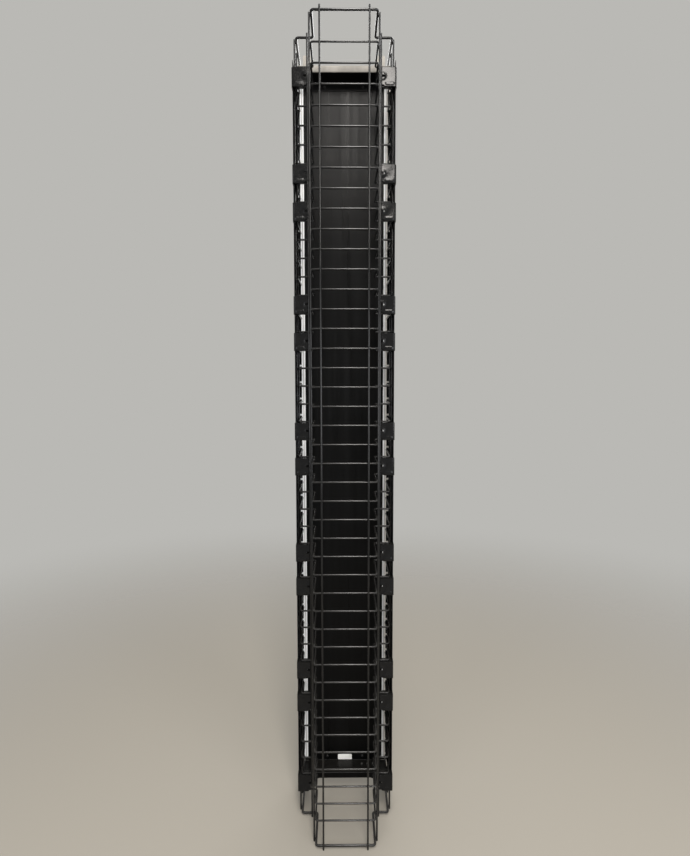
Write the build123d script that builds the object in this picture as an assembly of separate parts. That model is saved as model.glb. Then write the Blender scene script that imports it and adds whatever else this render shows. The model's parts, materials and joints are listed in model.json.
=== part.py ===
from build123d import *
import os

# A tall vertical cable manager for the side of a server rack, in millimetres.
# A shallow sheet steel trough carries a wire cage, which moulded clips hold to its front edges.
# +Z is up and the front faces -Y. The origin is on the floor, under the middle of the part.

# Heights
rack_unit = 44.45          # spacing of the wire rungs, one rack unit
rung_count = 42            # one rung for each unit
hoop_offset = 66.7         # from the last rung to the end hoop, centre to centre
tip_overhang = 8.0         # how far the long wires run past the middle of the end hoops
trough_drop = 14.7         # from the lowest rung down to the bottom end plate
wall_inset = 14.5          # how much shorter the side walls are than the panel, at each end
strip_inset = 9.0          # the same for the marker strips

# Widths
overall_width = 250.0      # over the clips
front_width = 153.0        # over the narrow front of the rungs
front_wire_spacing = 109.6  # between the two wires across the front
shoulder_wire_out = 11.3   # from the outside of the narrow front out to the wire on each shoulder
panel_margin = 2.0         # from the edge of the back panel to the outside of the wall
flange_width = 19.1        # inward flange along the rear of each side wall
strip_width = 12.2

# Depths
front_depth = 114.0        # from the front bars back to the shoulder wires, centre to centre
rear_depth = 143.0         # from the shoulder wires back to the front face of the rear flanges
side_wire_setback = 25.0   # from the front bars to the wires on the narrow sides
outer_front_setback = 24.0  # from the shoulder to the front wires on the outer legs
outer_rear_setback = 88.0  # from the shoulder to the rear wires on the outer legs
leg_end_gap = 1.5          # from the ends of the outer legs to the marker strips
end_plate_depth = 56.0

# Wire and sheet
rung_wire = 4.5
long_wire = 4.5
hoop_wire = 6.0
bend_inside = 4.0          # inside radius of every bend in a rung or hoop
weld_gap = 0.05            # between wires that are welded where they cross
sheet = 1.2
sheet_bend = 1.2           # inside radius of the folds
wall_clearance = 0.35      # from the outer long wires to the side walls

# Clips
clip_skin = 1.6            # the clip's lip outside the side wall
clip_gap = 0.3             # running gap around the edge of the wall
clip_wall = 2.2            # front face, ribs and inner lip
clip_reach = 24.0          # how far the clip runs back from its face
clip_cover = 2.0           # how far the face runs past the middle of the lower rung, on its outer part
clip_inner_rise = 5.0      # its inner corner ends that much higher
clip_corner_x = 8.6        # from the inner edge to where the low part begins
clip_corner_radius = 4.0   # the rounded outer corner
clip_low_radius = 2.0      # the rounded lower edge
clip_notch_width = 7.0     # the notch in the inner edge
clip_notch_height = 6.0
collar_width = 26.0        # the low cone round the notch
collar_top = 15.0
collar_rise = 1.3
swell_width = 10.0         # the low pad over the lower rung, with round ends and sloping sides
swell_length = 24.0
swell_rise = 1.2
swell_slope = 55.0
swell_edge = 4.5           # from the outer edge of the clip
swell_up = 7.2             # from the face's lower edge to the middle of the swell
barb_height = 1.2          # snap barbs behind the rungs
barb_width = 12.0
barb_setback = 1.0         # from the ends of the ribs
barb_depth = 2.5
clips_every = 7            # each group of so many rungs has a clip at both of its ends
clip_groups = 6

# Marker strips
strip_depth = 3.5
strip_wall = 1.1
strip_edge_gap = 1.5       # from the inner edge of the flange to the strip
strip_groove = 3.0         # width of the groove along its front
strip_groove_depth = 0.5
lug_height = 8.0
lug_depth = 2.0
slot_gap = 0.3             # around each lug in the wall

# End plates, rivets, buttons and label
lip_height = 15.0
ear_width = 20.0
ear_height = 24.0          # past the lip
ear_radius = 14.0
ear_tip_radius = 4.0
plate_side_gap = 1.0       # from the end plates' rear flanges to the flanges of the walls
shelf_side_gap = 1.0       # from the end plates' shelves to the rear wires on the outer legs
plate_flange = 22.0
rivet_head = 7.0
rivet_crown = 5.0          # the flat top of the head
rivet_head_height = 1.0
rivet_shank = 4.0
rivet_gap = 0.05
panel_rivet_rows = 8
panel_rivet_end = 90.0     # from the end of the panel to its first rivets
plate_rivet_inner = 100.0  # spacing of the inner pair of rivets in an end plate
plate_rivet_edge = 13.0    # from the end of the plate to its outer pair
plate_rivet_up = 12.0
button_width = 8.0
button_height = 4.0
button_chamfer = 1.5
button_edge = 23.0         # from the end of the plate to the last button
button_step = 16.0
button_setback = 21.0      # from the rear fold of the plate
label_width = 40.0
label_height = 16.0
label_thickness = 0.2

# Holes for bolting the trough to a rack
bolt_hole = 7.0
bolt_spacing = 76.0        # front to back
bolt_setback = 46.0        # from the shoulder to the front hole
bolt_unit = 3              # the end holes lie between this rung and the next

cut_margin = 1.0           # how far a cut runs past the faces that it opens

# Places that follow from the sizes above
bar_half = long_wire + weld_gap + rung_wire / 2
depth = bar_half + front_depth + rear_depth + 2 * sheet
y_bar = -depth / 2 + bar_half
y_step = y_bar + front_depth
y_rear = y_step + rear_depth
y_panel = y_rear + sheet
y_back = y_panel + sheet
y_strip = y_rear - strip_depth
y_leg_end = y_strip - leg_end_gap
y_wall_front = y_step - rung_wire / 2
y_lip = y_rear - end_plate_depth

slot_outer = overall_width / 2 - clip_skin
wall_outer = slot_outer - clip_gap
wall_inner = wall_outer - sheet
slot_inner = wall_inner - clip_gap
outer_wire_x = wall_inner - wall_clearance - long_wire / 2
leg_x = outer_wire_x - long_wire / 2 - weld_gap - rung_wire / 2
front_x = front_width / 2 - rung_wire / 2
side_wire_x = front_width / 2 + weld_gap + long_wire / 2
flange_x = wall_outer - flange_width
strip_x = flange_x + strip_edge_gap
shoulder_wire_x = front_width / 2 + shoulder_wire_out
plate_half = flange_x - plate_side_gap
shelf_half = outer_wire_x - long_wire / 2 - shelf_side_gap
shoulder_wire_y = y_step - rung_wire / 2 - weld_gap - long_wire / 2

z_low_hoop = tip_overhang
z_low_rung = z_low_hoop + hoop_offset
z_top_rung = z_low_rung + (rung_count - 1) * rack_unit
z_top_hoop = z_top_rung + hoop_offset
wire_length = z_top_hoop + tip_overhang
trough_length = rung_count * rack_unit
z_trough = z_low_rung - trough_drop
z_trough_top = z_trough + trough_length
z_trough_middle = z_trough + trough_length / 2


def rung_z(number):
    """Height of a rung, counted from the top."""
    return z_top_rung - (number - 1) * rack_unit


def bent_wire(width):
    """One hat-shaped wire, bent so that its outside is flush whatever its thickness."""
    extra = (width - rung_wire) / 2
    narrow, wide = front_x - extra, leg_x - extra
    front, shoulder = y_bar + extra, y_step + extra
    path = FilletPolyline(
        (-wide, y_leg_end, 0), (-wide, shoulder, 0), (-narrow, shoulder, 0), (-narrow, front, 0),
        (narrow, front, 0), (narrow, shoulder, 0), (wide, shoulder, 0), (wide, y_leg_end, 0),
        radius=bend_inside + width / 2,
    )
    section = Plane(path @ 0, z_dir=path % 0) * Circle(width / 2)
    return sweep(section, path=path)


def long_rod(x, y):
    """A straight wire from the floor to the top, welded across the rungs."""
    return Pos(x, y, 0) * extrude(Circle(long_wire / 2), wire_length)


def both_sides(right_piece):
    """The piece for the right side and its mirror image for the left."""
    return {"right": right_piece, "left": mirror(right_piece, about=Plane.YZ)}


def slab(x0, x1, y0, y1, z0, z1):
    return Pos((x0 + x1) / 2, (y0 + y1) / 2, (z0 + z1) / 2) * Box(x1 - x0, y1 - y0, z1 - z0)


def rivet_holes(places, y):
    """Holes through one sheet whose front face is at y."""
    cut = Rot(-90, 0, 0) * Cylinder(rivet_shank / 2 + rivet_gap, sheet + 2 * cut_margin)
    return [Pos(x, y + sheet / 2, z) * cut for x, z in places]


def clip():
    """Moulded clip for the right side. Its height is measured from midway between two rungs."""
    half = rack_unit / 2
    inner = shoulder_wire_x + long_wire / 2 + clip_gap
    outer = overall_width / 2
    face = shoulder_wire_y - long_wire / 2
    seat = y_step - rung_wire / 2 - clip_gap / 2
    rib = half - rung_wire / 2 - clip_gap
    top, low = rib, -half - clip_cover
    rise = low + clip_inner_rise
    rear = face + clip_reach
    outline = Polyline(
        (inner, top), (outer, top), (outer, low), (inner + clip_corner_x, low),
        (inner + clip_corner_x - clip_inner_rise, rise), (inner, rise), close=True,
    )
    plate = extrude(Plane(origin=(0, seat, 0), z_dir=(0, -1, 0), x_dir=(1, 0, 0)) * make_face(outline),
                    seat - face)
    hook = slab(slot_outer - clip_gap, outer, face, rear, low, top)
    body = plate + hook
    corner = body.edges().filter_by(Axis.Z).sort_by_distance((outer, face, 0))[0]
    body = fillet(corner, clip_corner_radius)
    lower_edge = body.edges().filter_by(Axis.X).sort_by_distance(((inner + outer) / 2, face, low))[0]
    body = fillet(lower_edge, clip_low_radius)
    collar = Pos(inner, face, 0) * Rot(90, 0, 0) * Cone(
        collar_width / 2, collar_top / 2, collar_rise, align=(Align.CENTER, Align.CENTER, Align.MIN))
    body += collar & slab(inner, outer, face - clip_reach, face, low, top)
    swell_plane = Plane(origin=(outer - swell_edge - swell_length / 2, face, low + swell_up),
                        x_dir=(1, 0, 0), z_dir=(0, -1, 0))
    body += extrude(swell_plane * SlotOverall(swell_length, swell_width), swell_rise, taper=swell_slope)
    lip = slot_inner - clip_wall
    tray = slab(inner + clip_wall, slot_inner, seat, rear, -rib, rib)
    tray -= slab(inner, lip, seat, rear, clip_wall - rib, rib - clip_wall)
    body += tray
    body -= slab(inner + clip_wall, lip, face + clip_wall, seat, clip_wall - rib, rib - clip_wall)
    body -= slab(slot_inner, slot_outer, y_wall_front - clip_gap, rear, low, top)
    notch_end = inner + clip_notch_width - clip_notch_height / 2
    notch_front = face - collar_rise - cut_margin
    body -= slab(inner - cut_margin, notch_end, notch_front, rear + cut_margin,
                 -clip_notch_height / 2, clip_notch_height / 2)
    notch_depth = rear + cut_margin - notch_front
    body -= Pos(notch_end, notch_front + notch_depth / 2, 0) * Rot(90, 0, 0) * Cylinder(
        clip_notch_height / 2, notch_depth)
    barb_y = y_step + rung_wire / 2 + clip_gap
    wedge = make_face(Polyline((barb_y, 0), (barb_y, barb_height), (barb_y + barb_depth, 0), close=True))
    for side in (1, -1):
        plane = Plane(origin=(inner + clip_wall + barb_setback, 0, side * rib),
                      x_dir=(0, 1, 0), z_dir=(1, 0, 0))
        tooth = extrude(plane * wedge, barb_width)
        body += tooth if side > 0 else mirror(tooth, about=Plane((0, 0, -rib), z_dir=(0, 0, 1)))
    return body


def clip_heights():
    """Middle height of each clip on one side."""
    firsts = [g * clips_every + k for g in range(clip_groups) for k in (1, clips_every - 1)]
    return [rung_z(first) - rack_unit / 2 for first in firsts]


def side_wall():
    """The right side wall: a tall sheet with a flange folded inward along its rear edge."""
    low, high = z_trough + wall_inset, z_trough_top - wall_inset
    line = FilletPolyline(
        (wall_inner + sheet / 2, y_wall_front), (wall_inner + sheet / 2, y_rear + sheet / 2),
        (flange_x, y_rear + sheet / 2), radius=sheet_bend + sheet / 2,
    )
    profile = trace(line, line_width=sheet)
    wall = Pos(0, 0, low) * extrude(profile, high - low)
    cuts = []
    for z in lug_heights():
        cuts.append(slab(wall_inner - cut_margin, wall_outer + cut_margin, y_strip - slot_gap,
                         y_strip + lug_depth + slot_gap, z - lug_height / 2 - slot_gap,
                         z + lug_height / 2 + slot_gap))
    for z in bolt_heights():
        for y in bolt_places():
            cut = Rot(0, 90, 0) * Cylinder(bolt_hole / 2, sheet + 2 * cut_margin)
            cuts.append(Pos(wall_inner + sheet / 2, y, z) * cut)
    flange_places = [(x, z) for x, z in panel_rivet_places() if x > 0]
    return wall - cuts - rivet_holes(flange_places, y_rear)


def bolt_heights():
    """Heights of the bolt holes: near both ends and near the middle, each midway between rungs."""
    middle = rung_count // 2
    return [rung_z(n) - rack_unit / 2 for n in (bolt_unit, middle, rung_count - bolt_unit)]


def bolt_places():
    return [y_step + bolt_setback, y_step + bolt_setback + bolt_spacing]


def lug_heights():
    """Heights of the lugs on a marker strip, one for each rack unit of the trough."""
    return [z_trough + (k + 0.5) * rack_unit for k in range(rung_count)]


def marker_strip():
    """Plastic strip on the rear flange of the right wall, hollow behind, with a lug for each unit."""
    low, high = z_trough + strip_inset, z_trough_top - strip_inset
    length = high - low
    middle = strip_x + strip_width / 2
    plane = Plane(origin=(middle, y_rear, z_trough_middle), x_dir=(1, 0, 0), z_dir=(0, -1, 0))
    strip = extrude(plane * SlotOverall(length, strip_width, rotation=90), strip_depth)
    hollow = slab(strip_x + strip_wall, strip_x + strip_width - strip_wall, y_strip + strip_wall, y_rear,
                  low + strip_width, high - strip_width)
    strip -= hollow
    strip -= slab(middle - strip_groove / 2, middle + strip_groove / 2, y_strip - cut_margin,
                  y_strip + strip_groove_depth, low + strip_width, high - strip_width)
    lugs = [slab(strip_x + strip_width - strip_wall, wall_outer, y_strip, y_strip + lug_depth,
                 z - lug_height / 2, z + lug_height / 2) for z in lug_heights()]
    return strip + lugs


def panel_rivet_places():
    span = trough_length - 2 * panel_rivet_end
    step = span / (panel_rivet_rows - 1)
    x = strip_x + strip_width / 2
    return [(side * x, z_trough + panel_rivet_end + k * step)
            for k in range(panel_rivet_rows) for side in (1, -1)]


def rivet(grip):
    """A low tapered head on a shank. It stands at the origin and its shank runs along +Y."""
    head = Cone(rivet_crown / 2, rivet_head / 2, rivet_head_height,
                align=(Align.CENTER, Align.CENTER, Align.MAX))
    shank = Cylinder(rivet_shank / 2, grip, align=(Align.CENTER, Align.CENTER, Align.MIN))
    return Rot(-90, 0, 0) * (head + shank)


def plate_rivet_places():
    """Rivets that hold both end plates to the panel."""
    up, down = z_trough + plate_rivet_up, z_trough_top - plate_rivet_up
    across = (plate_rivet_inner / 2, plate_half - plate_rivet_edge)
    return [(side * x, z) for z in (up, down) for x in across for side in (1, -1)]


def end_plate():
    """Top end plate: a flange on the panel, a shelf that runs out past it, and a front lip with two ears."""
    line = FilletPolyline(
        (y_rear + sheet / 2, z_trough_top - plate_flange), (y_rear + sheet / 2, z_trough_top - sheet / 2),
        (y_lip + sheet / 2, z_trough_top - sheet / 2),
        (y_lip + sheet / 2, z_trough_top + lip_height + ear_height),
        radius=sheet_bend + sheet / 2,
    )
    side = Plane(origin=(-shelf_half, 0, 0), x_dir=(0, 1, 0), z_dir=(1, 0, 0))
    plate = extrude(side * trace(line, line_width=sheet), 2 * shelf_half)
    opening_half = plate_half - ear_width
    z_lip = z_trough_top + lip_height
    opening = slab(-opening_half, opening_half, y_lip - sheet, y_lip + 2 * sheet,
                   z_lip, z_lip + 2 * ear_height)
    opening = fillet(opening.edges().filter_by(Axis.Y).group_by(Axis.Z)[0], ear_radius)
    plate -= opening
    beside_ear = slab(plate_half, shelf_half + cut_margin, y_lip - sheet, y_lip + 2 * sheet,
                      z_lip, z_lip + 2 * ear_height)
    beside_flange = slab(plate_half, shelf_half + cut_margin,
                         y_rear - sheet_bend, y_rear + sheet + cut_margin,
                         z_trough_top - plate_flange - cut_margin, z_trough_top + cut_margin)
    for cut in (beside_ear, beside_flange):
        plate -= [cut, mirror(cut, about=Plane.YZ)]
    tips = plate.edges().filter_by(Axis.Y).group_by(Axis.Z)[-1]
    plate = fillet(tips, ear_tip_radius)
    return plate - rivet_holes([(x, z) for x, z in plate_rivet_places() if z > z_trough_middle], y_rear)


def back_panel():
    half = wall_outer - panel_margin
    panel = slab(-half, half, y_panel, y_back, z_trough, z_trough_top)
    return panel - rivet_holes(panel_rivet_places() + plate_rivet_places(), y_panel)


def rivets(places):
    one = rivet(2 * sheet)
    return [Pos(x, y_rear, z) * one for x, z in places]


def buttons():
    """Three low round buttons on the bottom end plate, to the right of its middle."""
    one = Cylinder(button_width / 2, button_height, align=(Align.CENTER, Align.CENTER, Align.MIN))
    one = chamfer(one.edges().sort_by(Axis.Z)[-1], button_chamfer)
    last = plate_half - button_edge
    return [Pos(last - k * button_step, y_rear - button_setback, z_trough + sheet) * one for k in range(3)]


def label():
    """The blank label, on the rear flange of the bottom end plate."""
    z = z_trough + sheet + sheet_bend
    return slab(-label_width / 2, label_width / 2, y_rear - label_thickness, y_rear, z, z + label_height)


def build():
    nodes = {}
    nodes["back_panel"] = back_panel()
    for side, wall in both_sides(side_wall()).items():
        nodes[side + "_side_wall"] = wall
    for side, strip in both_sides(marker_strip()).items():
        nodes[side + "_marker_strip"] = strip
    top = end_plate()
    nodes["top_end_plate"] = top
    nodes["bottom_end_plate"] = mirror(top, about=Plane((0, 0, z_trough_middle), z_dir=(0, 0, 1)))
    nodes["panel_rivets"] = rivets(panel_rivet_places())
    nodes["end_plate_rivets"] = rivets(plate_rivet_places())
    nodes["bottom_plate_buttons"] = buttons()
    nodes["blank_label"] = label()

    rung = bent_wire(rung_wire)
    nodes["wire_rungs"] = [Pos(0, 0, rung_z(n + 1)) * rung for n in range(rung_count)]
    hoop = bent_wire(hoop_wire)
    nodes["bottom_hoop"] = Pos(0, 0, z_low_hoop) * hoop
    nodes["top_hoop"] = Pos(0, 0, z_top_hoop) * hoop
    long_wires = {
        "front_wire": (front_wire_spacing / 2, y_bar - bar_half + long_wire / 2),
        "side_wire": (side_wire_x, y_bar + side_wire_setback),
        "shoulder_wire": (shoulder_wire_x, shoulder_wire_y),
        "outer_front_wire": (outer_wire_x, y_step + outer_front_setback),
        "outer_rear_wire": (outer_wire_x, y_step + outer_rear_setback),
    }
    for name, (x, y) in long_wires.items():
        nodes["right_" + name] = long_rod(x, y)
        nodes["left_" + name] = long_rod(-x, y)
    for side, one in both_sides(clip()).items():
        nodes[side + "_clips"] = [Pos(0, 0, z) * one for z in clip_heights()]
    return nodes


os.makedirs("parts", exist_ok=True)
for name, shape in build().items():
    if isinstance(shape, list):
        shape = Compound(children=shape)
    shape.label = name
    export_step(shape, f"parts/{name}.step")
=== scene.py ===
# The looks of a tall vertical cable manager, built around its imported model.
import json
import math
import random

import bmesh
import bpy
from mathutils import Euler, Matrix, Vector


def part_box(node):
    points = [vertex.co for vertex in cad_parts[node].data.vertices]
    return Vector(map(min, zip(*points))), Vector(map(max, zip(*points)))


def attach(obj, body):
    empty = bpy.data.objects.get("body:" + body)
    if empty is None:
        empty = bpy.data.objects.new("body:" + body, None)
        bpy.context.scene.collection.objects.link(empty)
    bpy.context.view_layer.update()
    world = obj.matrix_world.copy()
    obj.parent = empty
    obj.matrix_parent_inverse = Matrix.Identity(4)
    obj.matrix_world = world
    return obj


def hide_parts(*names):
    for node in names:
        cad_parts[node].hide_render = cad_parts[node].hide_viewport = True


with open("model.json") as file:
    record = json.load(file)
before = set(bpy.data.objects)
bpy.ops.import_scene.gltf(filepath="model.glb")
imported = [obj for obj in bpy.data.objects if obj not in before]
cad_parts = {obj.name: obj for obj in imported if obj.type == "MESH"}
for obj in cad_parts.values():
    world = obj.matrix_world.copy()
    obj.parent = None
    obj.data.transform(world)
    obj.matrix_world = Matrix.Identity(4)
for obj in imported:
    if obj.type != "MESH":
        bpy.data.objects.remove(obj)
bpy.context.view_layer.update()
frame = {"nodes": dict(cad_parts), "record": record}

MM = 0.001
RACK_UNIT = 44.45 * MM
RUNG_COUNT = 42
RIGHTWARD, FORWARD, UP = Vector((1, 0, 0)), Vector((0, -1, 0)), Vector((0, 0, 1))

# Wires
RUNG_WIRE = 4.5 * MM
LONG_WIRE = 4.5 * MM
HOOP_WIRE = 6.0 * MM
WIRE_SIDES = 14
BEND_INSIDE = 4.0 * MM
BEND_STEPS = 6
CUT_END_EASE = 0.7 * MM
CUT_END_SHARE = 0.3
WELD_GAP = 0.05 * MM
BEAD_LENGTH = 2.7 * MM
BEAD_DEPTH = 1.5 * MM
HAND_WELD_SHIFT = 0.25 * MM
HAND_WELD_SEED = 5

# Moulded clips. Each group of rungs has one at its top and one SECOND_CLIP gaps further down.
CLIP_GROUPS = 6
CLIPS_EVERY = 7
SECOND_CLIP = 5
CLIP_SKIN = 1.6 * MM
CLIP_WALL = 2.2 * MM
CLIP_GAP = 0.3 * MM
CLIP_EDGE = 0.45 * MM
CLIP_CORNER, CLIP_CORNER_STEPS = 4.0 * MM, 8
CLIP_LOW_RADIUS, CLIP_LOW_STEPS = 2.0 * MM, 6
NOTCH_REACH, NOTCH_HEIGHT, NOTCH_STEPS = 7.0 * MM, 6.0 * MM, 10
STEP_OUT, STEP_UP = 8.6 * MM, 5.0 * MM
COLLAR_WIDTH, COLLAR_TOP, COLLAR_RISE = 26.0 * MM, 9.0 * MM, 0.8 * MM
SWELL_LENGTH, SWELL_WIDTH, SWELL_TOP, SWELL_RISE = 24.0 * MM, 10.0 * MM, 3.0 * MM, 0.6 * MM
SWELL_EDGE, SWELL_UP = 4.5 * MM, 7.2 * MM
PAD_ROOT = 1.0 * MM
PAD_STEPS, PAD_ROUND_STEPS = 6, 14

# Trough
SHEET = 1.2 * MM
END_INSET = 14.5 * MM
LIP_HEIGHT = 15.0 * MM
LABEL_CORNER, LABEL_CORNER_STEPS = 2.5 * MM, 6

# Marker strips. The groove shade is how far their groove takes on a painted shade.
STRIP_FACE = 9.7 * MM
STRIP_ROUND_STEPS = 12
STRIP_GROOVE = 3.0 * MM
STRIP_GROOVE_DEPTH = 0.5 * MM
GROOVE_SHADE = 0.6
STRIP_EDGE = 0.3 * MM
LUG_HEIGHT = 4.5 * MM
LUG_DEPTH = 2.0 * MM
LUG_ROOT = 1.0 * MM

# How far a cutting solid reaches past what it cuts, and how bevels find and round an edge
CUT_PAST = 1.0 * MM
SHARP_ANGLE = math.radians(35)
EDGE_SEGMENTS = 2

# The part of a noise pattern's range that holds nearly all of it, and where the tone starts to
# wander in it
NOISE_LOW, NOISE_HIGH = 0.3, 0.7
WANDER_LOW = 0.35

# Dust and painted highlight: the slope where they start, how patchy, and how much the lip's hides
DUST_AND_HIGHLIGHT_SLOPE = 0.2
DUST_AND_HIGHLIGHT_THIN, DUST_AND_HIGHLIGHT_THICK = 0.75, 1.2
LIP_HIGHLIGHT, LIP_HIGHLIGHT_MORE = 0.22, 0.14

# Floor, which is solid in the middle and fades out from there
FLOOR_RADIUS = 3.2
FLOOR_SOLID = 0.7
FLOOR_SIDES = 96

# The camera that took the photograph, worked out from the rungs
LENS = 25.69
SENSOR_WIDTH = 36.0
CAMERA_BACK = 1410.5 * MM
CAMERA_HEIGHT = 1179.5 * MM
CAMERA_SIDE = -10.9 * MM
CAMERA_DOWN = 5.354
CAMERA_RIGHT = 0.446
CAMERA_ROLL = 0.088
CAMERA_NEAR, CAMERA_FAR = 0.01, 50.0


def srgb(code):
    """The linear colour of a hex value."""
    parts = [int(code[i:i + 2], 16) / 255 for i in (1, 3, 5)]
    return tuple(c / 12.92 if c <= 0.04045 else ((c + 0.055) / 1.055) ** 2.4
                 for c in parts) + (1.0,)


def add(tree, kind, sockets=None, **settings):
    """Adds one node. sockets gives each input a value or the output that feeds it."""
    made = tree.nodes.new(kind)
    for name, value in settings.items():
        setattr(made, name, value)
    for name, value in (sockets or {}).items():
        if isinstance(value, bpy.types.NodeSocket):
            tree.links.new(value, made.inputs[name])
        else:
            made.inputs[name].default_value = value
    return made


def emptied(owner):
    """The node tree of a new material or world, with nothing in it."""
    owner.use_nodes = True
    owner.node_tree.nodes.clear()
    return owner.node_tree


def finish_of(name, colour, drift, dust_and_highlight_colour, grain_mm, grain_height_mm, blotch_mm, rough,
              rough_spread, ior, dust_and_highlight_on_top, drawn=1.0, sunk_mm=0.0, painted_highlight_between=None):
    """A painted or moulded surface: a fine grain, slow changes of tone and gloss, and dust on its
    tops that is partly a painted highlight.

    drift is the tone that the colour wanders to. drawn stretches the slow changes along the
    height, and sunk_mm is how deep the surface dips with them. The last argument gives two
    heights, between which a pale painted highlight grows stronger.
    """
    material = bpy.data.materials.new(name)
    tree = emptied(material)
    where = add(tree, "ShaderNodeTexCoord")
    grain = add(tree, "ShaderNodeTexNoise", {
        "Vector": where.outputs["Object"], "Scale": 1 / (grain_mm * MM),
        "Detail": 3.0, "Roughness": 0.6})
    stretched = add(tree, "ShaderNodeMapping", {
        "Vector": where.outputs["Object"], "Scale": (1.0, 1.0, 1 / drawn)})
    blotch = add(tree, "ShaderNodeTexNoise", {
        "Vector": stretched.outputs["Vector"], "Scale": 1 / (blotch_mm * MM),
        "Detail": 5.0, "Roughness": 0.65})
    surface = add(tree, "ShaderNodeNewGeometry")
    facing = add(tree, "ShaderNodeSeparateXYZ", {"Vector": surface.outputs["Normal"]})
    # Dust on upward faces, which on the wire, the clips and the top plate is also a painted
    # highlight.
    settled = add(tree, "ShaderNodeMapRange", {
        "Value": facing.outputs["Z"], "From Min": DUST_AND_HIGHLIGHT_SLOPE, "From Max": 1.0,
        "To Min": 0.0, "To Max": dust_and_highlight_on_top})
    if painted_highlight_between:
        # A painted highlight on the lip: it grows paler from its foot up to its edge.
        foot, top = painted_highlight_between
        place = add(tree, "ShaderNodeSeparateXYZ", {"Vector": where.outputs["Object"]})
        highlight_at_foot = add(tree, "ShaderNodeMapRange", {
            "Value": place.outputs["Z"], "From Min": foot - SHEET, "From Max": foot,
            "To Min": 0.0, "To Max": LIP_HIGHLIGHT})
        paler_towards_edge = add(tree, "ShaderNodeMapRange", {
            "Value": place.outputs["Z"], "From Min": foot, "From Max": top,
            "To Min": 0.0, "To Max": LIP_HIGHLIGHT_MORE})
        painted_lip_highlight = add(tree, "ShaderNodeMath", {
            0: highlight_at_foot.outputs["Result"], 1: paler_towards_edge.outputs["Result"]}, operation="ADD")
        settled = add(tree, "ShaderNodeMath", {
            0: settled.outputs["Result"], 1: painted_lip_highlight.outputs["Value"]}, operation="ADD")
    uneven = add(tree, "ShaderNodeMapRange", {
        "Value": blotch.outputs["Fac"], "From Min": NOISE_LOW, "From Max": NOISE_HIGH,
        "To Min": DUST_AND_HIGHLIGHT_THIN, "To Max": DUST_AND_HIGHLIGHT_THICK})
    dust_and_highlight_share = add(tree, "ShaderNodeMath", {
        0: settled.outputs[0], 1: uneven.outputs["Result"]}, operation="MULTIPLY", use_clamp=True)
    wander = add(tree, "ShaderNodeMapRange", {
        "Value": blotch.outputs["Fac"], "From Min": WANDER_LOW, "From Max": NOISE_HIGH,
        "To Min": 0.0, "To Max": 1.0})
    clean = add(tree, "ShaderNodeMix", {
        "Factor": wander.outputs["Result"], "A": srgb(colour), "B": srgb(drift)},
        data_type="RGBA")
    paint = add(tree, "ShaderNodeMix", {
        "Factor": dust_and_highlight_share.outputs["Value"], "A": clean.outputs["Result"], "B": srgb(dust_and_highlight_colour)},
        data_type="RGBA")
    gloss = add(tree, "ShaderNodeMapRange", {
        "Value": blotch.outputs["Fac"], "From Min": NOISE_LOW, "From Max": NOISE_HIGH,
        "To Min": rough - rough_spread, "To Max": rough + rough_spread})
    sunk = add(tree, "ShaderNodeBump", {
        "Height": blotch.outputs["Fac"], "Strength": 1.0, "Distance": sunk_mm * MM})
    bump = add(tree, "ShaderNodeBump", {
        "Height": grain.outputs["Fac"], "Strength": 1.0, "Distance": grain_height_mm * MM,
        "Normal": sunk.outputs["Normal"]})
    shader = add(tree, "ShaderNodeBsdfPrincipled", {
        "Base Color": paint.outputs["Result"], "Roughness": gloss.outputs["Result"],
        "IOR": ior, "Normal": bump.outputs["Normal"]})
    add(tree, "ShaderNodeOutputMaterial", {"Surface": shader.outputs["BSDF"]})
    return material


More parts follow.
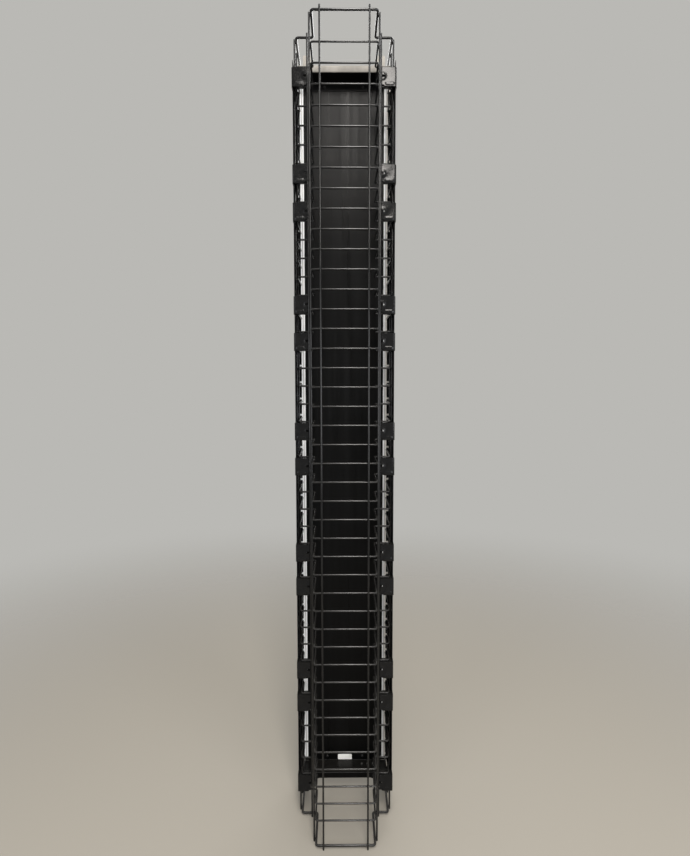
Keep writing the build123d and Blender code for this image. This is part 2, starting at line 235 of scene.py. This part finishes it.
def white_pvc_of(middle, groove, line_mm, line_height_mm, drawn):
    """White plastic with faint lines drawn along it, and painted shade in its groove.

    middle is how far its groove lies from x = 0. Outside it, the right-hand strip is toned beige as
    painted shade.
    """
    material = bpy.data.materials.new("white_pvc")
    tree = emptied(material)
    where = add(tree, "ShaderNodeTexCoord")
    place = add(tree, "ShaderNodeSeparateXYZ", {"Vector": where.outputs["Object"]})
    across = add(tree, "ShaderNodeMath", {0: place.outputs["X"]}, operation="ABSOLUTE")
    outer = add(tree, "ShaderNodeMapRange", {
        "Value": place.outputs["X"], "From Min": middle, "From Max": middle + groove,
        "To Min": 0.0, "To Max": 1.0})
    # Painted shade: the right-hand strip turns beige outside its groove.
    painted_shade_outside = add(tree, "ShaderNodeMix", {
        "Factor": outer.outputs["Result"], "A": srgb("#f8f8f6"), "B": srgb("#ebe5da")},
        data_type="RGBA")
    off_middle = add(tree, "ShaderNodeMath", {
        0: across.outputs["Value"], 1: middle}, operation="SUBTRACT")
    off_groove = add(tree, "ShaderNodeMath", {
        0: off_middle.outputs["Value"]}, operation="ABSOLUTE")
    # Painted shade: the groove is darkened grey.
    in_groove = add(tree, "ShaderNodeMapRange", {
        "Value": off_groove.outputs["Value"], "From Min": groove / 4, "From Max": groove / 2,
        "To Min": GROOVE_SHADE, "To Max": 0.0})
    groove_shaded = add(tree, "ShaderNodeMix", {
        "Factor": in_groove.outputs["Result"], "A": painted_shade_outside.outputs["Result"],
        "B": srgb("#7d7a74")}, data_type="RGBA")
    stretched = add(tree, "ShaderNodeMapping", {
        "Vector": where.outputs["Object"], "Scale": (1.0, 1.0, 1 / drawn)})
    lines = add(tree, "ShaderNodeTexNoise", {
        "Vector": stretched.outputs["Vector"], "Scale": 1 / (line_mm * MM),
        "Detail": 3.0, "Roughness": 0.6})
    gloss = add(tree, "ShaderNodeMapRange", {
        "Value": lines.outputs["Fac"], "From Min": NOISE_LOW, "From Max": NOISE_HIGH,
        "To Min": 0.32, "To Max": 0.46})
    bump = add(tree, "ShaderNodeBump", {
        "Height": lines.outputs["Fac"], "Strength": 1.0, "Distance": line_height_mm * MM})
    shader = add(tree, "ShaderNodeBsdfPrincipled", {
        "Base Color": groove_shaded.outputs["Result"], "Roughness": gloss.outputs["Result"],
        "IOR": 1.52, "Normal": bump.outputs["Normal"]})
    add(tree, "ShaderNodeOutputMaterial", {"Surface": shader.outputs["BSDF"]})
    return material


strip_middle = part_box("right_marker_strip")[0].x + STRIP_FACE / 2
shelf_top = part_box("right_side_wall")[1].z + END_INSET

# Polyester powder coat baked on steel wire: satin black with a faint orange peel, and dust
# along the tops that is also a painted highlight there.
powder_coated_wire = finish_of(
    "powder_coated_wire", colour="#0a0a0b", drift="#131313", dust_and_highlight_colour="#7c7871", grain_mm=1.1,
    grain_height_mm=0.012, blotch_mm=22.0, rough=0.2, rough_spread=0.03, ior=1.4,
    dust_and_highlight_on_top=0.12)
# The same coat on sheet steel, sprayed thicker: a fine sandy texture, and long faint streaks
# from the rolling.
powder_coated_sheet = finish_of(
    "powder_coated_sheet", colour="#050505", drift="#0b0b0b", dust_and_highlight_colour="#6b6861", grain_mm=0.7,
    grain_height_mm=0.03, blotch_mm=14.0, rough=0.33, rough_spread=0.08, ior=1.2,
    dust_and_highlight_on_top=0.06, drawn=40.0)
# The sheet at the top of the part: a pale painted highlight on its tops, which on the lip grows
# stronger towards its edge.
highlighted_sheet = finish_of(
    "powder_coated_sheet_with_painted_highlight", colour="#050505", drift="#0b0b0b", dust_and_highlight_colour="#e3dcd0",
    grain_mm=0.7, grain_height_mm=0.03, blotch_mm=30.0, rough=0.42, rough_spread=0.05, ior=1.2,
    dust_and_highlight_on_top=0.3, painted_highlight_between=(shelf_top, shelf_top + LIP_HEIGHT))
# Nylon 66, injection moulded in a spark-eroded tool: an even fine grain, and a soft sheen over
# slight sink marks. A little dust on its tops is also a painted highlight.
moulded_nylon = finish_of(
    "moulded_nylon", colour="#0c0c0d", drift="#141414", dust_and_highlight_colour="#6b6861", grain_mm=0.5,
    grain_height_mm=0.006, blotch_mm=14.0, rough=0.15, rough_spread=0.03, ior=1.3,
    dust_and_highlight_on_top=0.06, sunk_mm=0.35)
# Extruded rigid PVC: clean white with a soft gloss that faint drawn lines break up.
# Painted shade greys its groove, and tones the right-hand strip beige outside the groove.
white_pvc = white_pvc_of(
    strip_middle, STRIP_GROOVE, line_mm=1.2, line_height_mm=0.02, drawn=50)
# Blackened steel rivets and buttons: dark, with duller patches where they were set.
blackened_steel = finish_of(
    "blackened_steel", colour="#131314", drift="#242322", dust_and_highlight_colour="#6b6861", grain_mm=0.4,
    grain_height_mm=0.02, blotch_mm=5.0, rough=0.33, rough_spread=0.08, ior=1.5, dust_and_highlight_on_top=0.2)
# Vinyl label stock, blank: bright white, faintly uneven.
blank_vinyl = finish_of(
    "blank_vinyl", colour="#f9f9f6", drift="#efede7", dust_and_highlight_colour="#e2e0d8", grain_mm=0.6,
    grain_height_mm=0.008, blotch_mm=9.0, rough=0.48, rough_spread=0.05, ior=1.45,
    dust_and_highlight_on_top=0.0)


def linked(name, data):
    """A new object in the scene."""
    made = bpy.data.objects.new(name, data)
    bpy.context.scene.collection.objects.link(made)
    return made


def new_object(name, mesh, body, material, replaced=()):
    """Makes a mesh a piece of the object, riding on its body."""
    piece = linked(name, mesh)
    mesh.materials.append(material)
    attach(piece, body)
    if replaced:
        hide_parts(*replaced)
    return piece


def mesh_of(name, points, faces):
    """A mesh of points in metres, and of faces that give their points by number."""
    mesh = bpy.data.meshes.new(name)
    mesh.from_pydata(points, [], faces)
    return mesh


def filled(mesh, shape):
    """Puts what a bmesh holds into a mesh, and frees the bmesh."""
    shape.to_mesh(mesh)
    shape.free()
    return mesh


def smoothed(mesh):
    """The same mesh, shaded softly over all its faces."""
    for face in mesh.polygons:
        face.use_smooth = True
    return mesh


def both_sides(mesh):
    """The mesh of the right-hand piece and its mirror image, each with the name of its side."""
    mirrored = mesh.copy()
    mirrored.transform(Matrix.Scale(-1, 4, RIGHTWARD))
    mirrored.flip_normals()
    return (("left", mirrored), ("right", mesh))


def bevel(piece, name, width):
    """Rounds a piece's sharp edges."""
    edge = piece.modifiers.new(name, "BEVEL")
    edge.width, edge.segments = width, EDGE_SEGMENTS
    edge.limit_method, edge.angle_limit = "ANGLE", SHARP_ANGLE
    return edge


def bent_path(corners, radius):
    """Places and directions along a wire that is bent round each corner."""
    steps = [(corners[0], (corners[1] - corners[0]).normalized())]
    for before, corner, after in zip(corners, corners[1:], corners[2:]):
        into, out = (corner - before).normalized(), (after - corner).normalized()
        half_turn = into.angle(out) / 2
        setback = radius * math.tan(half_turn)
        start = corner - into * setback
        inward = (out - into * out.dot(into)).normalized()
        centre = start + inward * radius
        for k in range(BEND_STEPS + 1):
            turn = 2 * half_turn * k / BEND_STEPS
            place = centre - inward * radius * math.cos(turn) + into * radius * math.sin(turn)
            steps.append((place, into * math.cos(turn) + inward * math.sin(turn)))
    steps.append((corners[-1], (corners[-1] - corners[-2]).normalized()))
    return steps


def wire(corners, thickness, across, points, faces):
    """Adds a round wire with eased cut ends. across is square to the whole of its path."""
    radius = thickness / 2
    ease, share = CUT_END_EASE, CUT_END_SHARE
    (start, into), *bends, (end, out) = bent_path(corners, BEND_INSIDE + radius)
    rings = [(start, into, radius - ease),
             (start + into * ease * share, into, radius - ease * share),
             (start + into * ease, into, radius)]
    rings += [(place, along, radius) for place, along in bends]
    rings += [(end - out * ease, out, radius),
              (end - out * ease * share, out, radius - ease * share),
              (end, out, radius - ease)]
    base = len(points)
    for place, along, size in rings:
        side = along.cross(across)
        for k in range(WIRE_SIDES):
            turn = 2 * math.pi * k / WIRE_SIDES
            points.append(place + side * size * math.cos(turn) + across * size * math.sin(turn))
    for r in range(len(rings) - 1):
        for k in range(WIRE_SIDES):
            a = base + r * WIRE_SIDES + k
            b = base + r * WIRE_SIDES + (k + 1) % WIRE_SIDES
            faces.append((a, b, b + WIRE_SIDES, a + WIRE_SIDES))
    faces.append(tuple(base + k for k in reversed(range(WIRE_SIDES))))
    faces.append(tuple(base + (len(rings) - 1) * WIRE_SIDES + k for k in range(WIRE_SIDES)))


# Places of the wires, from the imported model
rung_low, rung_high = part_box("wire_rungs")
side_wire_low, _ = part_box("right_side_wire")
_, shoulder_wire_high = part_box("right_shoulder_wire")
bar_y = rung_low.y + RUNG_WIRE / 2
step_y = shoulder_wire_high.y + WELD_GAP + RUNG_WIRE / 2
leg_end_y = rung_high.y
leg_x = rung_high.x - RUNG_WIRE / 2
front_x = side_wire_low.x - WELD_GAP - RUNG_WIRE / 2
low_rung_z = rung_low.z + RUNG_WIRE / 2
rung_heights = [low_rung_z + k * RACK_UNIT for k in range(RUNG_COUNT)]


def hat_corners(thickness, z):
    """Corners of the hat-shaped outline, flush on its outside whatever the wire's thickness."""
    extra = (thickness - RUNG_WIRE) / 2
    narrow, wide, front, step = front_x - extra, leg_x - extra, bar_y + extra, step_y + extra
    flat = [(-wide, leg_end_y), (-wide, step), (-narrow, step), (-narrow, front),
            (narrow, front), (narrow, step), (wide, step), (wide, leg_end_y)]
    return [Vector((x, y, z)) for x, y in flat]


def centre_of(node):
    """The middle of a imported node's box."""
    low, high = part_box(node)
    return (low + high) / 2


def long_wire_places():
    """Middle of each long wire, with the direction from the rung that it is welded to."""
    towards = {"front_wire": FORWARD, "shoulder_wire": FORWARD}
    kinds = ("front_wire", "side_wire", "shoulder_wire", "outer_front_wire", "outer_rear_wire")
    places = {}
    for side, sign in (("left", -1), ("right", 1)):
        for kind in kinds:
            node = f"{side}_{kind}"
            places[node] = (centre_of(node), towards.get(kind, RIGHTWARD * sign))
    return places


def new_wires(name, node, paths, thickness, across):
    """One piece of round wires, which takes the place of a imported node."""
    points, faces = [], []
    for corners in paths:
        wire(corners, thickness, across, points, faces)
    mesh = mesh_of(name, points, faces)
    mesh.validate()
    new_object(name, smoothed(mesh), "cage", powder_coated_wire, [node])


def make_rungs():
    """The rungs, each welded by hand a hair above or below its even height."""
    dice = random.Random(HAND_WELD_SEED)
    paths = [hat_corners(RUNG_WIRE, z + dice.uniform(-1, 1) * HAND_WELD_SHIFT)
             for z in rung_heights]
    new_wires("rung_wires", "wire_rungs", paths, RUNG_WIRE, UP)


def make_hoops():
    """The thicker bent wires at both ends of the cage."""
    for node in ("top_hoop", "bottom_hoop"):
        corners = hat_corners(HOOP_WIRE, centre_of(node).z)
        new_wires(node + "_wire", node, [corners], HOOP_WIRE, UP)


def make_long_wires():
    """The straight wires along the cage, five on each side."""
    for node in long_wire_places():
        low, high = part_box(node)
        middle = (low + high) / 2
        ends = [Vector((middle.x, middle.y, z)) for z in (low.z, high.z)]
        new_wires(node + "_rod", node, [ends], LONG_WIRE, RIGHTWARD)


def make_weld_beads():
    """A small bead of weld at each crossing."""
    shape = bmesh.new()
    crossings = rung_heights + [centre_of(node).z for node in ("bottom_hoop", "top_hoop")]
    for middle, outward in long_wire_places().values():
        contact = middle - outward * (LONG_WIRE / 2)
        spread = Matrix.Diagonal((BEAD_DEPTH if outward.x else BEAD_LENGTH,
                                  BEAD_DEPTH if outward.y else BEAD_LENGTH, BEAD_LENGTH, 1))
        for z in crossings:
            place = Matrix.Translation((contact.x, contact.y, z)) @ spread
            bmesh.ops.create_icosphere(shape, subdivisions=2, radius=1, matrix=place)
    mesh = smoothed(filled(bpy.data.meshes.new("weld_beads"), shape))
    new_object("weld_beads", mesh, "cage", powder_coated_wire)


def arc(centre, radius, start, end, steps):
    """Points on an arc, with its angles in degrees."""
    turns = [math.radians(start + (end - start) * k / steps) for k in range(steps + 1)]
    return [(centre[0] + radius * math.cos(t), centre[1] + radius * math.sin(t)) for t in turns]


def rectangle(u, v, far_u, far_v):
    """Corners of a rectangle, from the one at (u, v)."""
    return [(u, v), (far_u, v), (far_u, far_v), (u, far_v)]


def from_above(u, v, w):
    """An outline in x and y, drawn along z."""
    return (u, v, w)


def from_front(u, v, w):
    """An outline in x and z, drawn along y."""
    return (u, w, v)


def from_side(u, v, w):
    """An outline in y and z, drawn along x."""
    return (w, u, v)


def prism(outline, start, end, plane):
    """A closed solid from a flat outline, drawn between two positions along w.

    plane is the view in which the outline is drawn, and turns (u, v, w) into a point.
    """
    count = len(outline)
    points = [plane(u, v, w) for w in (start, end) for u, v in outline]
    faces = [tuple(range(count)), tuple(reversed(range(count, 2 * count)))]
    faces += [(k, k + count, (k + 1) % count + count, (k + 1) % count) for k in range(count)]
    mesh = mesh_of("solid", points, faces)
    shape = bmesh.new()
    shape.from_mesh(mesh)
    bmesh.ops.recalc_face_normals(shape, faces=shape.faces)
    return linked("solid", filled(mesh, shape))


def pad(centre, length, width, top_width, rise, face):
    """A low rise with round ends and softly curved flanks, standing on the face at y = face."""
    run = (length - width) / 2
    rings = [(width / 2, face + PAD_ROOT)]
    for k in range(PAD_STEPS + 1):
        share = k / PAD_STEPS
        rings.append(((width - (width - top_width) * share) / 2,
                      face - rise * (1 - math.cos(math.pi * share)) / 2))
    points, faces = [], []
    for radius, y in rings:
        outline = arc((centre[0] + run, centre[1]), radius, -90, 90, PAD_ROUND_STEPS)
        far_end = arc((centre[0] - run, centre[1]), radius, 90, 270, PAD_ROUND_STEPS)
        # In a plain circle the two arcs share their end points.
        outline += far_end if run else far_end[1:-1]
        points += [(x, y, z) for x, z in outline]
    count = len(points) // len(rings)
    for r in range(len(rings) - 1):
        low, high = r * count, (r + 1) * count
        faces += [(low + k, low + (k + 1) % count, high + (k + 1) % count, high + k)
                  for k in range(count)]
    faces.append(tuple(reversed(range(count))))
    faces.append(tuple(range((len(rings) - 1) * count, len(rings) * count)))
    return linked("pad", mesh_of("pad", points, faces))


def combine(base, others, how):
    """Joins solids to the first, or cuts them from it, and returns it with plain mesh."""
    for other in others:
        change = base.modifiers.new("change", "BOOLEAN")
        change.operation, change.solver, change.object = how, "EXACT", other
        seen = base.evaluated_get(bpy.context.evaluated_depsgraph_get())
        settled = bpy.data.meshes.new_from_object(seen)
        base.modifiers.clear()
        base.data = settled
        bpy.data.objects.remove(other)
    return base


def taken_from(piece):
    """The mesh of a helper object, which is removed."""
    mesh = piece.data
    bpy.data.objects.remove(piece)
    return mesh


def clip_mesh():
    """The right-hand clip, with its height measured from midway between two rungs."""
    clips_low, clips_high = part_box("right_clips")
    inner, outer, rear = clips_low.x, clips_high.x, clips_high.y
    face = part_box("right_shoulder_wire")[0].y
    wall_low, wall_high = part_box("right_side_wall")
    slot_outer = outer - CLIP_SKIN
    slot_inner = wall_high.x - SHEET - CLIP_GAP
    slot_front = wall_low.y - CLIP_GAP
    seat = step_y - RUNG_WIRE / 2 - CLIP_GAP / 2
    lip = slot_inner - CLIP_WALL
    half = RACK_UNIT / 2
    rib = half - RUNG_WIRE / 2 - CLIP_GAP
    low = clips_low.z - (rung_heights[0] + half)
    step_top = low + STEP_UP
    past_low, past_rib, past_outer = low - CUT_PAST, rib + CUT_PAST, outer + CUT_PAST
    past_inner, past_face, past_rear = inner - CUT_PAST, face - CUT_PAST, rear + CUT_PAST

    plate = prism([(inner, step_top), (inner + STEP_OUT - STEP_UP, step_top),
                   (inner + STEP_OUT, low), (outer, low), (outer, rib), (inner, rib)],
                  face, seat, from_front)
    hook = prism(rectangle(slot_outer - CLIP_GAP, face, outer, rear), low, rib, from_above)
    tray = prism(rectangle(inner + CLIP_WALL, seat - CLIP_WALL, slot_inner, rear),
                 -rib, rib, from_above)
    collar = pad((inner, 0), COLLAR_WIDTH, COLLAR_WIDTH, COLLAR_TOP, COLLAR_RISE, face)
    swell = pad((outer - SWELL_EDGE - SWELL_LENGTH / 2, low + SWELL_UP),
                SWELL_LENGTH, SWELL_WIDTH, SWELL_TOP, SWELL_RISE, face)
    body = combine(plate, [hook, tray, collar, swell], "UNION")

    # The half of the collar that lies beyond the clip's inner edge
    beyond = prism(rectangle(inner - COLLAR_WIDTH, face - CLIP_WALL, inner, rear),
                   past_low, past_rib, from_above)
    cavity = prism(rectangle(inner + CLIP_WALL / 2, face + CLIP_WALL, lip, past_rear),
                   CLIP_WALL - rib, rib - CLIP_WALL, from_above)
    slot = prism(rectangle(slot_inner, slot_front, slot_outer, past_rear),
                 past_low, past_rib, from_above)
    notch_half = NOTCH_HEIGHT / 2
    notch_end = arc((inner + NOTCH_REACH - notch_half, 0), notch_half, -90, 90, NOTCH_STEPS)
    notch = prism([(past_inner, -notch_half)] + notch_end + [(past_inner, notch_half)],
                  face - CLIP_WALL, past_rear, from_front)
    corner_x, corner_y = outer - CLIP_CORNER, face + CLIP_CORNER
    corner = arc((corner_x, corner_y), CLIP_CORNER, -90, 0, CLIP_CORNER_STEPS)
    rounding = prism(corner + [(past_outer, corner_y), (past_outer, past_face),
                               (corner_x, past_face)], past_low, past_rib, from_above)
    edge_y, edge_z = face + CLIP_LOW_RADIUS, low + CLIP_LOW_RADIUS
    edge = arc((edge_y, edge_z), CLIP_LOW_RADIUS, 180, 270, CLIP_LOW_STEPS)
    easing = prism(edge + [(edge_y, past_low), (past_face, past_low), (past_face, edge_z)],
                   inner, past_outer, from_side)
    return taken_from(
        combine(body, [beyond, cavity, slot, notch, rounding, easing], "DIFFERENCE"))


def make_clips():
    """Two clips for each group of rungs on either side. Gaps between rungs count from the top."""
    mesh = smoothed(clip_mesh())
    mesh.materials.clear()
    mesh.materials.append(moulded_nylon)
    mesh.set_sharp_from_angle(angle=SHARP_ANGLE)
    gaps = [g * CLIPS_EVERY + k for g in range(CLIP_GROUPS) for k in (0, SECOND_CLIP)]
    for side, data in both_sides(mesh):
        for number, gap in enumerate(gaps):
            piece = linked(f"{side}_clip_{number + 1:02d}", data)
            piece.location = (0, 0, rung_heights[RUNG_COUNT - 1 - gap] - RACK_UNIT / 2)
            bevel(piece, "moulded_edges", CLIP_EDGE).harden_normals = True
            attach(piece, "cage")
            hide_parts(side + "_clips")


def lugs_of(inner, outer, front):
    """One solid for each rack unit, which runs out from the strip into its slot in the wall."""
    panel_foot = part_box("back_panel")[0].z
    size = Matrix.Diagonal((outer - inner, LUG_DEPTH, LUG_HEIGHT, 1))
    shape = bmesh.new()
    for number in range(RUNG_COUNT):
        place = ((inner + outer) / 2, front + LUG_DEPTH / 2,
                 panel_foot + (number + 0.5) * RACK_UNIT)
        bmesh.ops.create_cube(shape, size=1, matrix=Matrix.Translation(place) @ size)
    return linked("lugs", filled(bpy.data.meshes.new("lugs"), shape))


def make_strips():
    """A white strip down each side, with round ends, a groove down its middle, and its lugs."""
    low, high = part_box("right_marker_strip")
    radius = STRIP_FACE / 2
    outline = arc((strip_middle, high.z - radius), radius, 0, 180, STRIP_ROUND_STEPS)
    outline += arc((strip_middle, low.z + radius), radius, 180, 360, STRIP_ROUND_STEPS)
    strip = prism(outline, low.y, high.y, from_front)
    groove = prism(rectangle(strip_middle - STRIP_GROOVE / 2, low.z + STRIP_FACE,
                             strip_middle + STRIP_GROOVE / 2, high.z - STRIP_FACE),
                   low.y - CUT_PAST, low.y + STRIP_GROOVE_DEPTH, from_front)
    strip = combine(strip, [groove], "DIFFERENCE")
    lugs = lugs_of(low.x + STRIP_FACE - LUG_ROOT, high.x, low.y)
    mesh = taken_from(combine(strip, [lugs], "UNION"))
    mesh.materials.clear()
    for side, data in both_sides(mesh):
        piece = new_object(side + "_white_strip", data, "trough", white_pvc,
                           [side + "_marker_strip"])
        bevel(piece, "extruded_edges", STRIP_EDGE)


def make_label():
    """The blank label, with its corners die-cut round."""
    low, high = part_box("blank_label")
    turns = ((high.x, high.z, 1, 1, 0), (low.x, high.z, -1, 1, 90),
             (low.x, low.z, -1, -1, 180), (high.x, low.z, 1, -1, 270))
    outline = []
    for x, z, outward, upward, start in turns:
        centre = (x - outward * LABEL_CORNER, z - upward * LABEL_CORNER)
        outline += arc(centre, LABEL_CORNER, start, start + 90, LABEL_CORNER_STEPS)
    mesh = taken_from(prism(outline, low.y, high.y, from_front))
    new_object("round_cornered_label", mesh, "trough", blank_vinyl, ["blank_label"])


def finish_cad_nodes():
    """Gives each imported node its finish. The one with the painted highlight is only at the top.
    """
    finishes = {"powder_coated_sheet": powder_coated_sheet,
                "powder_coated_wire": powder_coated_wire, "moulded_clip": moulded_nylon,
                "white_strip": white_pvc, "rivet": blackened_steel, "label": blank_vinyl}
    for subpart in frame["record"]["subparts"]:
        node = subpart["node"]
        materials = frame["nodes"][node].data.materials
        materials.clear()
        materials.append(highlighted_sheet if node == "top_end_plate"
                         else finishes[subpart["material_slot"]])


def make_floor():
    """A pale floor that fades out at its edge, so that no horizon shows."""
    shape = bmesh.new()
    bmesh.ops.create_circle(shape, cap_ends=True, segments=FLOOR_SIDES, radius=FLOOR_RADIUS)
    floor = linked("floor", filled(bpy.data.meshes.new("floor"), shape))
    # Sealed concrete, in a pale warm grey: matt, with a soft shadow under the part.
    material = bpy.data.materials.new("sealed_concrete")
    tree = emptied(material)
    where = add(tree, "ShaderNodeTexCoord")
    distance = add(tree, "ShaderNodeVectorMath", {0: where.outputs["Object"]},
                   operation="LENGTH")
    fade = add(tree, "ShaderNodeMapRange", {
        "Value": distance.outputs["Value"], "From Min": FLOOR_SOLID, "From Max": FLOOR_RADIUS,
        "To Min": 0.0, "To Max": 1.0}, interpolation_type="SMOOTHSTEP")
    concrete = add(tree, "ShaderNodeBsdfPrincipled", {
        "Base Color": srgb("#989287"), "Roughness": 0.8})
    clear = add(tree, "ShaderNodeBsdfTransparent")
    mix = add(tree, "ShaderNodeMixShader", {
        0: fade.outputs["Result"], 1: concrete.outputs["BSDF"], 2: clear.outputs["BSDF"]})
    add(tree, "ShaderNodeOutputMaterial", {"Surface": mix.outputs["Shader"]})
    floor.data.materials.append(material)


def make_world():
    """A pale surround for the camera and for reflections, and a dimmer one for its light."""
    world = bpy.data.worlds.new("studio")
    bpy.context.scene.world = world
    tree = emptied(world)
    path = add(tree, "ShaderNodeLightPath")
    mirrored = add(tree, "ShaderNodeMath", {
        0: path.outputs["Is Glossy Ray"], 1: path.outputs["Is Transmission Ray"]},
        operation="MAXIMUM")
    seen = add(tree, "ShaderNodeMath", {
        0: path.outputs["Is Camera Ray"], 1: mirrored.outputs["Value"]}, operation="MAXIMUM")
    shown = add(tree, "ShaderNodeBackground", {"Color": srgb("#bab9b5"), "Strength": 1.0})
    shed = add(tree, "ShaderNodeBackground", {"Color": srgb("#e6e8ea"), "Strength": 0.6})
    mix = add(tree, "ShaderNodeMixShader", {
        0: seen.outputs["Value"], 1: shed.outputs["Background"],
        2: shown.outputs["Background"]})
    add(tree, "ShaderNodeOutputWorld", {"Surface": mix.outputs["Shader"]})


def make_lamp(name, place, aim, size, power, colour):
    """A soft lamp. Distances are in metres, and power is in watts."""
    lamp = bpy.data.lights.new(name, "AREA")
    lamp.shape, lamp.size, lamp.size_y, lamp.energy = "RECTANGLE", size[0], size[1], power
    lamp.color = srgb(colour)[:3]
    holder = linked(name, lamp)
    holder.location = place
    holder.rotation_euler = (Vector(aim) - Vector(place)).to_track_quat("-Z", "Y").to_euler()


def make_camera():
    """The camera, where the one that took the photograph stood."""
    data = bpy.data.cameras.new("camera")
    data.lens, data.sensor_width, data.sensor_fit = LENS, SENSOR_WIDTH, "AUTO"
    data.clip_start, data.clip_end = CAMERA_NEAR, CAMERA_FAR
    camera = linked("camera", data)
    camera.location = (CAMERA_SIDE, bar_y - CAMERA_BACK, CAMERA_HEIGHT)
    camera.rotation_euler = Euler((math.radians(90 - CAMERA_DOWN), math.radians(CAMERA_ROLL),
                                   math.radians(-CAMERA_RIGHT)), "XYZ")
    bpy.context.scene.camera = camera


finish_cad_nodes()
make_rungs()
make_hoops()
make_long_wires()
make_weld_beads()
make_clips()
make_strips()
make_label()
make_floor()
make_world()
make_lamp("key", place=(0.32, -2.9, 3.3), aim=(0.1, 0, 1.3), size=(0.7, 1.3),
          power=80, colour="#fffaf4")
make_lamp("overhead", place=(0.05, -1.5, 4.2), aim=(0, -0.1, 1.2), size=(0.5, 2.2),
          power=72, colour="#fffdfa")
make_lamp("right_fill", place=(1.7, -2.5, 1.1), aim=(0, 0, 0.8), size=(1.4, 1.5),
          power=54, colour="#fafbff")
make_lamp("left_fill", place=(-1.7, -2.5, 1.5), aim=(0, 0, 1.1), size=(1.4, 1.5),
          power=26, colour="#fafbff")
make_lamp("back", place=(0.4, 1.8, 2.8), aim=(0, 0, 1.3), size=(1.6, 1.0),
          power=25, colour="#ffffff")
make_camera()

scene = bpy.context.scene
scene.view_settings.view_transform = "Standard"
